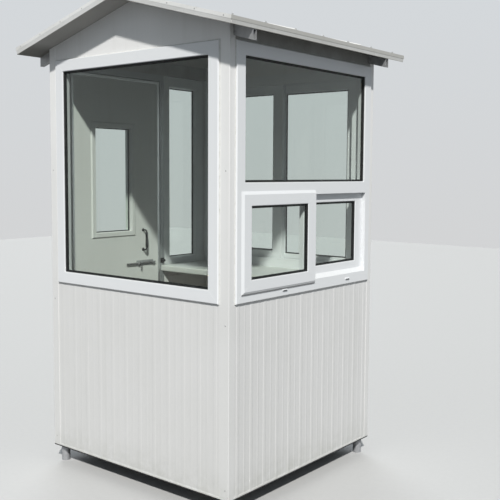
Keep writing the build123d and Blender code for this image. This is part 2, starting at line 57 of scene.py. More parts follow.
# Roof sizes of the frame
ROOF_THICKNESS = 38 * MM
ROOF_COVER = 18 * MM
ROOF_LIP = 4 * MM
CAP_SKIN = 3 * MM
RIDGE_UNDERSIDE = ROOF_HIGH[2] - ROOF_THICKNESS
ROOF_FALL = (RIDGE_UNDERSIDE - ROOF_LOW[2]) / ROOF_HIGH[0]
ROOF_TILT = math.atan(ROOF_FALL)
OUTRIGGER_HEIGHT = 50 * MM
OUTRIGGER_FLANGE = 26 * MM
OUTRIGGER_STEEL = 3 * MM

# Window sizes of the frame: faces of the plastic, bevels and slopes
FRAME_FACE = 64 * MM
FRAME_BEVEL = 3.5 * MM
SIGHT_BEVEL = 3 * MM
SLIDER_SIDE = 45 * MM
SLIDER_SILL = 59 * MM
SASH_SIDE = 70 * MM
FLANGE_SLOPE = 16 * MM

# Door sizes of the frame. A face's depth is taken from the outside of the wall.
LEAF_REBATE = 15 * MM
LEAF_OUTER_FACE = 2 * MM
LEAF_INNER_FACE = 52 * MM
HINGE_HALF = 50 * MM
HINGE_FACE = -0.5 * MM
BOLT_PLATE_FACE = 54.5 * MM
PULL_RADIUS = 5 * MM
PULL_BEND = 17 * MM

# The two windows whose outer sash laps the frame
SLIDING = (("hatch_sash_front", "hatch_glass", "right"), ("back_sashes", "back_window_glass", "back"))

# How far a pane reaches into its frame, and into the door's surround
PANE_EDGE = 11.7 * MM
DOOR_PANE_EDGE = 3.7 * MM

# Glazing gaskets: width on the glass and height against the frame, and their rounded slope in shares
# of the two. The inner ones stand further in.
OUTER_GASKET = (9 * MM, 9 * MM)
INNER_GASKET = (6 * MM, 5 * MM)
DOOR_GASKET = (5 * MM, 4 * MM)
INNER_INSET = 5 * MM
GASKET_BITE = 0.4 * MM
GASKET_SLOPE = ((0.12, 1.0), (0.45, 0.62), (0.85, 0.22), (1.0, 0.0))

# Each node of panes: its wall, reach, outer gasket, inset of the inner one, and body
PANES = (
    ("front_window_glass", "front", PANE_EDGE, OUTER_GASKET, INNER_INSET, "booth"),
    ("right_window_glass", "right", PANE_EDGE, OUTER_GASKET, INNER_INSET, "booth"),
    ("hatch_glass", "right", PANE_EDGE, OUTER_GASKET, INNER_INSET, "booth"),
    ("back_window_glass", "back", PANE_EDGE, OUTER_GASKET, INNER_INSET, "booth"),
    ("side_window_glass", "left", PANE_EDGE, OUTER_GASKET, INNER_INSET, "booth"),
    ("door_light_glass", "left", DOOR_PANE_EDGE, DOOR_GASKET, 0, "door"),
)

# Blind rivets on the corner trims and along the rakes
RIVET_RADIUS = 4 * MM
RIVET_HEIGHT = 1.6 * MM
RIVET_INSET = 22 * MM
RIVET_HEIGHTS = (0.146, 0.943, 1.667)
RAKE_PITCH = 0.165
RAKE_START = 45 * MM
RAKE_DROP = 10 * MM

# Screws of the fittings
SCREW_RADIUS = 3.6 * MM
SCREW_HEIGHT = 1.6 * MM
HINGE_SCREW_INSET = 14 * MM
HINGE_SCREWS = ((-35 * MM, 4 * MM), (0, -4 * MM), (35 * MM, 4 * MM))
BOLT_SCREW_RADIUS = 3.24 * MM
BOLT_SCREW_HEIGHT = 0.6 * MM
BOLT_SCREW_REACH = 46 * MM
BOLT_SCREW_RISE = 10.5 * MM

# Grips and roses of the pulls
SLEEVE_RADIUS = 8 * MM
ROSE_RADIUS = 10.5 * MM
ROSE_HEIGHT = 3 * MM

# Hexagon screws of the roof and their washers
ROOF_SCREW_RADIUS = 5 * MM
ROOF_SCREW_HEIGHT = 5 * MM
ROOF_SCREW_COUNT = 7
ROOF_SCREW_END = 60 * MM
CAP_SCREW_INSET = 16 * MM
EAVE_SCREW_INSET = 45 * MM
WASHER_RADIUS = 9 * MM
WASHER_HEIGHT = 2.2 * MM
WASHER_SEAT = 1.8 * MM

# Laps, drip fold and outrigger plates. A bedded piece overlaps the face that carries it.
BEDDING = 0.3 * MM
SEAM_PLACE = 0.30
SEAM_UNDER_CAP = 6 * MM
SEAM_SHORT = 1.5 * MM
SEAM_SECTION = ((-10, 0), (-8, 1.6), (-3, 1.9), (-2, 3.8), (2, 3.8), (3, 1.9), (8, 1.6), (10, 0))
DRIP_SHORT = 1 * MM
DRIP_SHARE = 0.92
PLATE_THICKNESS = 2 * MM
PLATE_LAP = 1 * MM

# Weld beads across the corners of plastic frames, with a section in shares of half width and height
WELD_WIDTH = 1.6 * MM
WELD_HEIGHT = 0.35 * MM
WELD_SECTION = ((-1, 0), (-0.5, 0.8), (0.5, 0.8), (1, 0))

# Sections in millimetres: sealant and edging as inset and depth, brush seal as depth and rise
SEALANT_SECTION = ((0.6, 2.4), (0.6, -2.6), (-0.6, -1.9), (-2.2, 0.4), (-4.4, 1.6), (-5.2, 2.4))
EDGING_SECTION = ((0.2, -0.3), (0.2, 1.4), (1.2, 1.8), (13, 1.6), (15, -0.3))
SEAL_SECTION = ((7.4, 0.4), (4.2, 1.0), (3.4, 6.0), (7.4, 7.2))
SEAL_SHORT = 2 * MM

# Drain caps under the hatch and the back window. A hood's levels are its scale and its share of depth.
DRAIN_LENGTH = 44 * MM
DRAIN_HEIGHT = 11 * MM
DRAIN_PROUD = 5 * MM
DRAIN_ABOVE_SILL = 31 * MM
DRAIN_PLACES = (-0.219, 0.369)
HOOD_STEPS = 8
HOOD_LEVELS = ((1.0, 0.0), (1.0, 0.35), (0.93, 0.8), (0.80, 1.0))
HOOD_TOP_SHARE = 0.45
HOOD_NARROWING = 0.25
# The slot is a thin black plate proud of the hood's face: painted shade of an opening.
SLOT_HALF = 0.36 * DRAIN_LENGTH
SLOT_LOW = -0.44 * DRAIN_HEIGHT
SLOT_HIGH = -0.10 * DRAIN_HEIGHT
SLOT_PROUD = 0.25 * MM
SLOT_DEPTH = 2.5 * MM

# Profiles of round parts, as shares of their radius and height from the middle out
RIVET_PROFILE = ((0, 0.62), (0.26, 0.60), (0.34, 1.0), (0.62, 0.92), (0.86, 0.55), (1.0, 0.0))
SCREW_PROFILE = ((0, 0.55), (0.30, 0.55), (0.40, 1.0), (0.70, 0.88), (0.92, 0.45), (1.0, 0.0))
HEX_PROFILE = ((0, 0.86), (0.70, 1.0), (0.92, 0.94), (1.0, 0.82), (1.0, 0.0))
WASHER_PROFILE = ((0, 1.0), (0.55, 1.0), (0.85, 0.62), (1.0, 0.15), (1.0, 0.0))
SLEEVE_PROFILE = ((0, 1.0), (0.75, 1.0), (0.9, 0.97), (1.0, 0.90), (0.9, 0.5), (1.0, 0.10), (0.9, 0.03),
                  (0.75, 0.0))
ROSE_PROFILE = ((0, 1.0), (0.62, 1.0), (0.88, 0.70), (1.0, 0.30), (1.0, 0.0))

# Weather and tone: the heights between which the paint darkens toward the ground, the share of dirt in
# splashes near the ground, how steeply a face's normal rises where dust settles on it, and the dusty
# strip above the eaves
LOWER_DARKENING = (2.25, 0.95)
SPLASH_SHARE = 0.42
LEDGE_RISE = (0.3, 0.9)
EAVE_DUST = 160 * MM

# Camera, from the vanishing lines of the photograph
CAMERA_PLACE = (3.081, -3.474, 1.660)
CAMERA_YAW = 38.967
CAMERA_PITCH = 4.672
CAMERA_ROLL = 0.322
CAMERA_LENS = 58.109
CAMERA_SENSOR = 36.0
CAMERA_SHIFT = (-0.0016, -0.0228)

# Light. The sky brightens from one side to the other, and the backdrop changes over the horizon.
SUN_TRAVEL = (-0.485, 0.55, -0.68)
SUN_STRENGTH = 3.9
SUN_ANGLE = 2.5
SUN_COLOUR = (1.0, 0.985, 0.955)
FILL_TRAVEL = (0.60, -0.55, -0.55)
FILL_STRENGTH = 1.15
FILL_ANGLE = 35.0
FILL_COLOUR = (0.92, 0.96, 1.0)
SKY_COLOUR = (0.82, 0.92, 1.0)
SKY_BRIGHT_TOWARD = (0.55, -0.62, 0.56)
SKY_TURN = (-0.8, 0.8)
SKY_STRENGTH = (0.09, 0.40)
BACKDROP_LOW = (0.65, 0.655, 0.66)
BACKDROP_HIGH = (0.66, 0.695, 0.725)
BACKDROP_RISE = (-0.12, 0.30)
FLOOR_HALF = 14.0
FLOOR_SHOWN = (0.52, 0.52, 0.515)
FLOOR_FLECK = 0.94
FLOOR_GIVEN = (0.09, 0.09, 0.09)


class Tree:
    """A node tree, with short calls for the nodes that it is made of."""

    def __init__(self, tree):
        self.tree = tree

    def node(self, kind, **values):
        made = self.tree.nodes.new(kind)
        for key, value in values.items():
            setattr(made, key, value)
        return made

    def feed(self, socket, value):
        """Links a socket to another, or sets it."""
        if isinstance(value, bpy.types.NodeSocket):
            self.tree.links.new(value, socket)
        elif isinstance(value, tuple) and socket.type == "RGBA":
            socket.default_value = (*value, 1.0)
        else:
            socket.default_value = value

    def math(self, operation, a, b=0.0):
        made = self.node("ShaderNodeMath", operation=operation)
        self.feed(made.inputs[0], a)
        self.feed(made.inputs[1], b)
        return made.outputs[0]

    def part(self, vector, index):
        """One of a vector's three parts."""
        made = self.node("ShaderNodeSeparateXYZ")
        self.feed(made.inputs[0], vector)
        return made.outputs[index]

    def ramp(self, value, low, high, out_low=0.0, out_high=1.0):
        """A clamped straight ramp."""
        made = self.node("ShaderNodeMapRange")
        self.feed(made.inputs["Value"], value)
        made.inputs["From Min"].default_value = low
        made.inputs["From Max"].default_value = high
        made.inputs["To Min"].default_value = out_low
        made.inputs["To Max"].default_value = out_high
        return made.outputs[0]

    def blend(self, share, a, b):
        """A colour from a to b."""
        made = self.node("ShaderNodeMix", data_type="RGBA")
        self.feed(made.inputs["Factor"], share)
        self.feed(made.inputs[6], a)
        self.feed(made.inputs[7], b)
        return made.outputs[2]

    def mixed(self, share, a, b):
        """A shader from a to b."""
        made = self.node("ShaderNodeMixShader")
        for socket, value in zip(made.inputs, (share, a, b)):
            self.feed(socket, value)
        return made.outputs[0]

    def seen_rays(self):
        """1 for rays that go to the camera straight, by a mirror or through glass."""
        path = self.node("ShaderNodeLightPath").outputs
        straight = self.math("MAXIMUM", path["Is Camera Ray"], path["Is Glossy Ray"])
        return self.math("MAXIMUM", straight, path["Is Transmission Ray"])


class Sheet(Tree):
    """One material."""

    def __init__(self, name):
        self.material = bpy.data.materials.new(name)
        self.material.use_nodes = True
        super().__init__(self.material.node_tree)
        self.shader = self.tree.nodes["Principled BSDF"]
        self.places = self.node("ShaderNodeTexCoord").outputs["Object"]

    def set(self, **values):
        """Sets the shader's own sockets by name, with _ for a space."""
        for key, value in values.items():
            self.feed(self.shader.inputs[key.replace("_", " ")], value)

    def colour(self, value):
        self.set(Base_Color=value)

    def axis(self, index):
        return self.part(self.places, index)

    def noise(self, scale, detail=2.0, rough=0.5, stretch=(1, 1, 1)):
        """Noise over the object's places, which are scaled by stretch along each axis."""
        stretched = self.node("ShaderNodeMapping")
        self.feed(stretched.inputs["Vector"], self.places)
        stretched.inputs["Scale"].default_value = stretch
        made = self.node("ShaderNodeTexNoise")
        self.feed(made.inputs["Vector"], stretched.outputs[0])
        made.inputs["Scale"].default_value = scale
        made.inputs["Detail"].default_value = detail
        made.inputs["Roughness"].default_value = rough
        return made.outputs["Fac"]

    def ledges(self, share):
        """Up to share on faces that look up, where dust settles."""
        normal = self.node("ShaderNodeNewGeometry").outputs["Normal"]
        return self.ramp(self.part(normal, 2), *LEDGE_RISE, 0.0, share)

    def bump(self, height, distance, strength=1.0):
        """Adds relief; distance is in metres."""
        made = self.node("ShaderNodeBump")
        made.inputs["Distance"].default_value = distance
        made.inputs["Strength"].default_value = strength
        self.feed(made.inputs["Height"], height)
        self.set(Normal=made.outputs[0])


def make_camera():
    """The photograph's camera."""
    yaw = math.radians(CAMERA_YAW)
    pitch = math.radians(CAMERA_PITCH)
    roll = math.radians(CAMERA_ROLL)
    forward = Vector((-math.sin(yaw) * math.cos(pitch), math.cos(yaw) * math.cos(pitch), -math.sin(pitch)))
    right = Vector((math.cos(yaw), math.sin(yaw), 0))
    up = right.cross(forward)
    across = right * math.cos(roll) + up * math.sin(roll)
    above = up * math.cos(roll) - right * math.sin(roll)
    turn = Matrix((across, above, -forward)).transposed()
    data = bpy.data.cameras.new("camera")
    data.lens = CAMERA_LENS
    data.sensor_width = CAMERA_SENSOR
    data.shift_x, data.shift_y = CAMERA_SHIFT
    camera = bpy.data.objects.new("camera", data)
    camera.matrix_world = Matrix.Translation(CAMERA_PLACE) @ turn.to_4x4()
    scene.collection.objects.link(camera)
    scene.camera = camera


def make_sun(name, travel, strength, angle, colour):
    """A soft distant lamp that shines along travel."""
    data = bpy.data.lights.new(name, "SUN")
    data.energy = strength
    data.angle = math.radians(angle)
    data.color = colour
    lamp = bpy.data.objects.new(name, data)
    lamp.rotation_euler = Vector(travel).to_track_quat("-Z", "Y").to_euler()
    lamp.visible_transmission = False
    scene.collection.objects.link(lamp)


def make_world():
    """A plain pale background, and a soft sky that the object sees in its place."""
    world = bpy.data.worlds.new("studio")
    world.use_nodes = True
    tree = Tree(world.node_tree)
    toward = tree.node("ShaderNodeTexCoord").outputs["Generated"]
    facing = tree.node("ShaderNodeVectorMath", operation="DOT_PRODUCT")
    tree.feed(facing.inputs[0], toward)
    tree.feed(facing.inputs[1], SKY_BRIGHT_TOWARD)
    sky = world.node_tree.nodes["Background"]
    tree.feed(sky.inputs["Color"], SKY_COLOUR)
    tree.feed(sky.inputs["Strength"], tree.ramp(facing.outputs["Value"], *SKY_TURN, *SKY_STRENGTH))
    backdrop = tree.node("ShaderNodeBackground")
    rise = tree.ramp(tree.part(toward, 2), *BACKDROP_RISE)
    tree.feed(backdrop.inputs["Color"], tree.blend(rise, BACKDROP_LOW, BACKDROP_HIGH))
    surface = tree.mixed(tree.seen_rays(), sky.outputs[0], backdrop.outputs[0])
    tree.feed(world.node_tree.nodes["World Output"].inputs["Surface"], surface)
    scene.world = world


def make_floor():
    """A plain pale floor, which lights the object less than it shows."""
    half = FLOOR_HALF
    mesh = bpy.data.meshes.new("floor")
    corners = [(-half, -half, 0), (half, -half, 0), (half, half, 0), (-half, half, 0)]
    mesh.from_pydata(corners, [], [(0, 1, 2, 3)])
    floor = bpy.data.objects.new("floor", mesh)
    scene.collection.objects.link(floor)
    sheet = Sheet("studio_floor")
    fleck = tuple(FLOOR_FLECK * channel for channel in FLOOR_SHOWN)
    shown = sheet.blend(sheet.noise(35.0, detail=4), fleck, FLOOR_SHOWN)
    sheet.colour(sheet.blend(sheet.seen_rays(), FLOOR_GIVEN, shown))
    sheet.set(Roughness=0.85)
    mesh.materials.append(sheet.material)


def grime(sheet, base, dirt=(0.30, 0.31, 0.24), foot=0.22, streaks=0.10, blotches=0.05, darker_low=0.0):
    """A painted outside: base colour, darker toward the ground if asked, with rain streaks, faint blotches
    and splashes near the ground.
    """
    height = sheet.axis(2)
    # Between the two given heights the base colour grows darker toward the ground; the colour named worn is
    # this darker base, not wear.
    if darker_low:
        worn = tuple(channel * (1 - darker_low) for channel in base)
        base = sheet.blend(sheet.ramp(height, *LOWER_DARKENING), base, worn)
    patch = sheet.ramp(sheet.noise(2.3, detail=5, rough=0.6), 0.35, 0.75, 0.0, 1.4 * blotches)
    colour = sheet.blend(patch, base, dirt)
    runs = sheet.ramp(sheet.noise(26.0, detail=3, rough=0.6, stretch=(1, 1, 0.035)), 0.55, 0.80)
    colour = sheet.blend(sheet.math("MULTIPLY", runs, streaks), colour, dirt)
    splash = sheet.ramp(height, BASE + foot, BASE)
    splash = sheet.math("MULTIPLY", splash, splash)
    spots = sheet.ramp(sheet.noise(18.0, detail=6, rough=0.7), 0.30, 0.72)
    splash = sheet.math("MULTIPLY", splash, spots)
    return sheet.blend(sheet.math("MULTIPLY", splash, SPLASH_SHARE), colour, dirt)


def wall_panel():
    """White paint of the wall sheets, darker toward the ground."""
    sheet = Sheet("wall_panel")
    sheet.colour(grime(sheet, (0.83, 0.827, 0.82), darker_low=0.12))
    sheet.set(Roughness=sheet.ramp(sheet.noise(9.0, detail=4), 0.3, 0.7, 0.34, 0.52))
    sheet.bump(sheet.noise(900.0, detail=2), 0.0003, 0.25)
    return sheet.material


def corner_trim():
    """White paint of the corner trims."""
    sheet = Sheet("corner_trim")
    sheet.colour(grime(sheet, (0.85, 0.848, 0.84), foot=0.16, darker_low=0.11))
    sheet.set(Roughness=sheet.ramp(sheet.noise(9.0, detail=4), 0.3, 0.7, 0.32, 0.48))
    sheet.bump(sheet.noise(700.0, detail=2), 0.0003, 0.2)
    return sheet.material


def window_plastic():
    """White plastic that rain keeps clean, dusty where it lies level."""
    sheet = Sheet("window_plastic")
    dirt = (0.50, 0.50, 0.47)
    washed = grime(sheet, (0.785, 0.80, 0.815), dirt, foot=0.0, streaks=0.03, blotches=0.012)
    sheet.colour(sheet.blend(sheet.ledges(0.40), washed, (0.56, 0.56, 0.54)))
    sheet.set(Roughness=sheet.ramp(sheet.noise(5.0, detail=3), 0.3, 0.7, 0.28, 0.33))
    sheet.bump(sheet.noise(420.0, detail=2), 0.0002, 0.15)
    return sheet.material


def window_glass():
    """Clear greenish sheet that lets lamps straight through, and soft light at only about 0.4 of its
    strength, which puts painted shade into the room.
    """
    sheet = Sheet("window_glass")
    smear = sheet.ramp(sheet.noise(3.0, detail=6, rough=0.7, stretch=(1, 1, 0.4)), 0.45, 0.8, 0.0, 0.03)
    sheet.set(Transmission_Weight=1.0, IOR=1.3, Roughness=smear)
    sheet.colour((0.83, 0.875, 0.85))
    path = sheet.node("ShaderNodeLightPath").outputs
    clear = sheet.node("ShaderNodeBsdfTransparent")
    # Lamps pass at about 0.95 and soft light at about 0.4: the dimmed soft light is painted shade inside the
    # room.
    tint = sheet.blend(path["Is Diffuse Ray"], (0.94, 0.965, 0.945), (0.40, 0.43, 0.42))
    sheet.feed(clear.inputs["Color"], tint)
    lets_by = sheet.math("MAXIMUM", path["Is Shadow Ray"], path["Is Diffuse Ray"])
    surface = sheet.mixed(lets_by, sheet.shader.outputs[0], clear.outputs[0])
    sheet.feed(sheet.tree.nodes["Material Output"].inputs["Surface"], surface)
    return sheet.material


def door_paint():
    """Off-white paint of the door."""
    sheet = Sheet("door_paint")
    sheet.colour(grime(sheet, (0.73, 0.735, 0.72)))
    sheet.set(Roughness=sheet.ramp(sheet.noise(9.0, detail=4), 0.3, 0.7, 0.34, 0.50))
    sheet.bump(sheet.noise(800.0, detail=2), 0.0003, 0.25)
    return sheet.material


def sill_aluminium():
    """Aluminium, brushed from front to back."""
    sheet = Sheet("sill_aluminium")
    brushed = sheet.noise(900.0, detail=2, stretch=(1, 0.02, 1))
    sheet.colour(sheet.blend(brushed, (0.55, 0.56, 0.57), (0.68, 0.69, 0.70)))
    sheet.set(Metallic=0.9, Roughness=sheet.ramp(brushed, 0.2, 0.8, 0.28, 0.48))
    sheet.bump(brushed, 0.0002, 0.3)
    return sheet.material


def roof_sheet():
    """Dusty white cover sheet over panels with a grey underside, whose painted shade is darkest past the side
    walls.
    """
    sheet = Sheet("roof_sheet")
    edge = ROOF_HIGH[0]
    out = sheet.math("ABSOLUTE", sheet.axis(0))
    runs = sheet.ramp(sheet.noise(24.0, detail=4, rough=0.6, stretch=(0.05, 1, 1)), 0.52, 0.80, 0.0, 0.28)
    patch = sheet.ramp(sheet.noise(3.1, detail=6, rough=0.65), 0.40, 0.72, 0.0, 0.30)
    dust = sheet.ramp(out, edge - EAVE_DUST, edge, 0.0, 0.35)
    specks = sheet.ramp(sheet.noise(90.0, detail=4, rough=0.7), 0.62, 0.72, 0.0, 0.35)
    # The mask named drip darkens the cover's outer edge along the eaves, not along the rakes.
    drip = sheet.ramp(out, edge - 1.5 * MM, edge - 0.5 * MM, 0.0, 0.72)
    top = sheet.blend(runs, (0.78, 0.78, 0.77), (0.38, 0.375, 0.34))
    top = sheet.blend(patch, top, (0.56, 0.555, 0.53))
    top = sheet.blend(sheet.math("MULTIPLY", dust, sheet.noise(14.0, detail=5)), top, (0.38, 0.37, 0.32))
    top = sheet.blend(specks, top, (0.34, 0.33, 0.28))
    top = sheet.blend(sheet.ledges(0.42), top, (0.50, 0.495, 0.47))
    top = sheet.blend(drip, top, (0.38, 0.375, 0.35))
    mottle = sheet.noise(5.0, detail=4)
    # The underside's grey changes by place as painted shade: lightest under the gable overhangs, darker over
    # the room, and darkest under the side eaves past the walls, where the mask named stained is painted
    # shade, not stains.
    gable = sheet.ramp(sheet.math("ABSOLUTE", sheet.axis(1)), HALF_DEPTH - 10 * MM, HALF_DEPTH + 10 * MM)
    stained = sheet.ramp(out, HALF_WIDTH - 60 * MM, HALF_WIDTH + 20 * MM, 0.0, 0.6)
    lining = sheet.blend(mottle, (0.27, 0.265, 0.25), (0.33, 0.325, 0.305))
    lining = sheet.blend(gable, lining, sheet.blend(mottle, (0.41, 0.405, 0.385), (0.49, 0.48, 0.46)))
    lining = sheet.blend(stained, lining, sheet.blend(mottle, (0.12, 0.12, 0.105), (0.19, 0.185, 0.165)))
    over = sheet.math("ADD", sheet.axis(2), sheet.math("MULTIPLY", out, ROOF_FALL))
    under = sheet.ramp(over, RIDGE_UNDERSIDE + 1.5 * MM, RIDGE_UNDERSIDE + 0.5 * MM)
    sheet.colour(sheet.blend(under, top, lining))
    sheet.set(Specular_IOR_Level=0.25)
    sheet.set(Roughness=sheet.ramp(sheet.noise(7.0, detail=4), 0.3, 0.7, 0.72, 0.88))
    sheet.bump(sheet.noise(600.0, detail=2), 0.0003, 0.25)
    return sheet.material


def galvanised_steel(name="galvanised_steel", dark=(0.34, 0.345, 0.36), light=(0.44, 0.445, 0.46)):
    """Galvanised steel with its spangle and dull stains."""
    sheet = Sheet(name)
    spangle = sheet.node("ShaderNodeTexVoronoi")
    sheet.feed(spangle.inputs["Vector"], sheet.places)
    spangle.inputs["Scale"].default_value = 60.0
    grey = sheet.node("ShaderNodeRGBToBW")
    sheet.feed(grey.inputs[0], spangle.outputs["Color"])
    shine = grey.outputs[0]
    base = sheet.blend(shine, dark, light)
    stain = sheet.ramp(sheet.noise(22.0, detail=5, rough=0.65), 0.55, 0.75)
    sheet.colour(sheet.blend(sheet.math("MULTIPLY", stain, 0.4), base, (0.42, 0.42, 0.40)))
    sheet.set(Metallic=0.4, Roughness=sheet.ramp(shine, 0.0, 1.0, 0.42, 0.62))
    sheet.bump(sheet.noise(260.0, detail=3), 0.0004, 0.3)
    return sheet.material


def dark_zinc():
    """Zinc darker than the galvanised steel, of the outriggers and of the bolt's body; on the outriggers the
    extra darkness is partly painted shade of the eaves.
    """
    return galvanised_steel("dark_zinc", (0.28, 0.285, 0.29), (0.40, 0.405, 0.41))


def frame_aluminium():
    """Dull grey door frame."""
    sheet = Sheet("frame_aluminium")
    drawn = sheet.noise(500.0, detail=2, stretch=(1, 1, 0.02))
    sheet.colour(grime(sheet, (0.36, 0.375, 0.385), dirt=(0.26, 0.25, 0.22)))
    sheet.set(Metallic=0.5, Roughness=sheet.ramp(drawn, 0.2, 0.8, 0.38, 0.55))
    sheet.bump(drawn, 0.0002, 0.25)
    return sheet.material


def header_painted_shade():
    """Dark grey with darker patches: painted shade on the header panels under the eaves."""
    sheet = Sheet("header_painted_shade")
    shade_patches = sheet.ramp(sheet.noise(9.0, detail=5, rough=0.65), 0.35, 0.7)
    sheet.colour(sheet.blend(shade_patches, (0.36, 0.36, 0.35), (0.27, 0.27, 0.25)))
    sheet.set(Roughness=0.6)
    sheet.bump(sheet.noise(700.0, detail=2), 0.0003, 0.2)
    return sheet.material


def base_steel():
    """Near-black base frame, rusty in patches; its blackness is partly painted shade under the booth."""
    sheet = Sheet("base_steel")
    rust = sheet.ramp(sheet.noise(24.0, detail=7, rough=0.7), 0.58, 0.72)
    sheet.colour(sheet.blend(rust, (0.014, 0.014, 0.015), (0.050, 0.030, 0.020)))
    sheet.set(Specular_IOR_Level=0.3, Roughness=sheet.ramp(rust, 0.0, 1.0, 0.5, 0.9))
    sheet.bump(sheet.noise(180.0, detail=5), 0.0006, 0.5)
    return sheet.material


def floor_sheet():
    """Sealed plywood, trodden grey in patches."""
    sheet = Sheet("floor_sheet")
    grain = sheet.noise(14.0, detail=6, rough=0.65, stretch=(9, 0.7, 1))
    figure = sheet.noise(3.0, detail=3, stretch=(5, 0.6, 1))
    wood = sheet.blend(grain, (0.30, 0.19, 0.10), (0.44, 0.30, 0.17))
    wood = sheet.blend(sheet.ramp(figure, 0.4, 0.7, 0.0, 0.5), wood, (0.24, 0.145, 0.075))
    tread = sheet.ramp(sheet.noise(3.4, detail=6, rough=0.65), 0.42, 0.68)
    sheet.colour(sheet.blend(sheet.math("MULTIPLY", tread, 0.55), wood, (0.22, 0.20, 0.17)))
    sheet.set(Roughness=sheet.ramp(tread, 0.0, 1.0, 0.38, 0.72))
    sheet.bump(grain, 0.0004, 0.35)
    return sheet.material


def desk_laminate():
    """Pale grey laminate, dusty in patches."""
    sheet = Sheet("desk_laminate")
    fleck = sheet.noise(420.0, detail=3, rough=0.6)
    dust = sheet.ramp(sheet.noise(4.0, detail=5), 0.4, 0.75)
    base = sheet.blend(fleck, (0.50, 0.51, 0.49), (0.57, 0.58, 0.56))
    sheet.colour(sheet.blend(sheet.math("MULTIPLY", dust, 0.3), base, (0.50, 0.49, 0.46)))
    sheet.set(Roughness=sheet.ramp(dust, 0.0, 1.0, 0.28, 0.5))
    sheet.bump(fleck, 0.0002, 0.2)
    return sheet.material


def ledger_steel():
    """Worn grey paint on the desk's ledgers."""
    sheet = Sheet("ledger_steel")
    wear = sheet.noise(30.0, detail=5, rough=0.65)
    sheet.colour(sheet.blend(sheet.ramp(wear, 0.45, 0.65), (0.62, 0.62, 0.61), (0.50, 0.50, 0.49)))
    sheet.set(Roughness=sheet.ramp(wear, 0.3, 0.7, 0.4, 0.6))
    sheet.bump(sheet.noise(300.0, detail=3), 0.0003, 0.3)
    return sheet.material


def black_metal():
    """Black coat, worn in specks."""
    sheet = Sheet("black_metal")
    wear = sheet.ramp(sheet.noise(60.0, detail=5, rough=0.7), 0.6, 0.75)
    sheet.colour(sheet.blend(sheet.math("MULTIPLY", wear, 0.5), (0.010, 0.010, 0.011), (0.05, 0.048, 0.045)))
    sheet.set(Specular_IOR_Level=0.3, Roughness=sheet.ramp(wear, 0.0, 1.0, 0.32, 0.6))
    sheet.bump(sheet.noise(500.0, detail=3), 0.0003, 0.3)
    return sheet.material


def bolt_steel():
    """Bare stained steel of the bolt's rod."""
    sheet = Sheet("bolt_steel")
    stain = sheet.noise(40.0, detail=5, rough=0.65)
    sheet.colour(sheet.blend(sheet.ramp(stain, 0.4, 0.7), (0.20, 0.20, 0.205), (0.32, 0.31, 0.29)))
    sheet.set(Metallic=0.85, Roughness=sheet.ramp(stain, 0.3, 0.7, 0.3, 0.55))
    sheet.bump(stain, 0.0003, 0.3)
    return sheet.material


def black_rubber():
    """Dusty black rubber of the gaskets, and the black of the painted shade in the drain caps."""
    sheet = Sheet("black_rubber")
    dust = sheet.ramp(sheet.noise(50.0, detail=4), 0.5, 0.75)
    sheet.colour(sheet.blend(sheet.math("MULTIPLY", dust, 0.35), (0.008, 0.009, 0.009), (0.05, 0.05, 0.047)))
    sheet.set(Specular_IOR_Level=0.2, Roughness=sheet.ramp(dust, 0.0, 1.0, 0.55, 0.8))
    sheet.bump(sheet.noise(900.0), 0.0002, 0.2)
    return sheet.material


def brush_pile():
    """Dark grey pile of the sash seals, which also paints the shadow line under the sashes."""
    sheet = Sheet("brush_pile")
    tufts = sheet.noise(1500.0, detail=2, stretch=(1, 1, 0.1))
    sheet.colour(sheet.blend(tufts, (0.17, 0.172, 0.175), (0.30, 0.302, 0.305)))
    sheet.set(Roughness=0.9, Specular_IOR_Level=0.2)
    sheet.bump(tufts, 0.0004, 0.4)
    return sheet.material


def sealant():
    """Off-white sealant, dirty in patches."""
    sheet = Sheet("sealant")
    dirt = sheet.ramp(sheet.noise(30.0, detail=5, rough=0.7), 0.45, 0.75)
    sheet.colour(sheet.blend(sheet.math("MULTIPLY", dirt, 0.5), (0.66, 0.66, 0.64), (0.36, 0.35, 0.30)))
    sheet.set(Roughness=sheet.ramp(dirt, 0.0, 1.0, 0.35, 0.6))
    sheet.bump(sheet.noise(120.0, detail=3), 0.0005, 0.4)
    return sheet.material


def rivet_metal():
    """Bare metal of rivets and screws."""
    sheet = Sheet("rivet_metal")
    stain = sheet.noise(300.0, detail=4, rough=0.6)
    sheet.colour(sheet.blend(stain, (0.42, 0.42, 0.42), (0.60, 0.60, 0.59)))
    sheet.set(Metallic=0.8, Roughness=sheet.ramp(stain, 0.3, 0.7, 0.3, 0.5))
    sheet.bump(stain, 0.0002, 0.3)
    return sheet.material


# Finishes of the frame: one for each slot, then those of single nodes
FINISHES = {
    "wall_panel": wall_panel,
    "corner_trim": corner_trim,
    "window_plastic": window_plastic,
    "window_glass": window_glass,
    "door_paint": door_paint,
    "sill_aluminium": sill_aluminium,
    "roof_sheet": roof_sheet,
    "galvanised_steel": galvanised_steel,
    "base_steel": base_steel,
    "floor_sheet": floor_sheet,
    "desk_laminate": desk_laminate,
    "ledger_steel": ledger_steel,
    "black_metal": black_metal,
    "bolt_steel": bolt_steel,
    "dark_zinc": dark_zinc,
    "frame_aluminium": frame_aluminium,
    "header_painted_shade": header_painted_shade,
}

# Nodes whose finish differs from others in their slot
OWN_FINISH = {
    # The outriggers' darker zinc is partly painted shade of the eaves.
    "outriggers": "dark_zinc",
    "door_bolt_body": "dark_zinc",
    # The keeper's black is partly painted shade.
    "door_bolt_keeper": "black_metal",
    "door_jamb_hinge": "frame_aluminium",
    "door_jamb_latch": "frame_aluminium",
    "door_head": "frame_aluminium",
    # The header panels take a dark grey that paints the deep shade under the eaves.
    "header_left": "header_painted_shade",
    "header_right": "header_painted_shade",
}


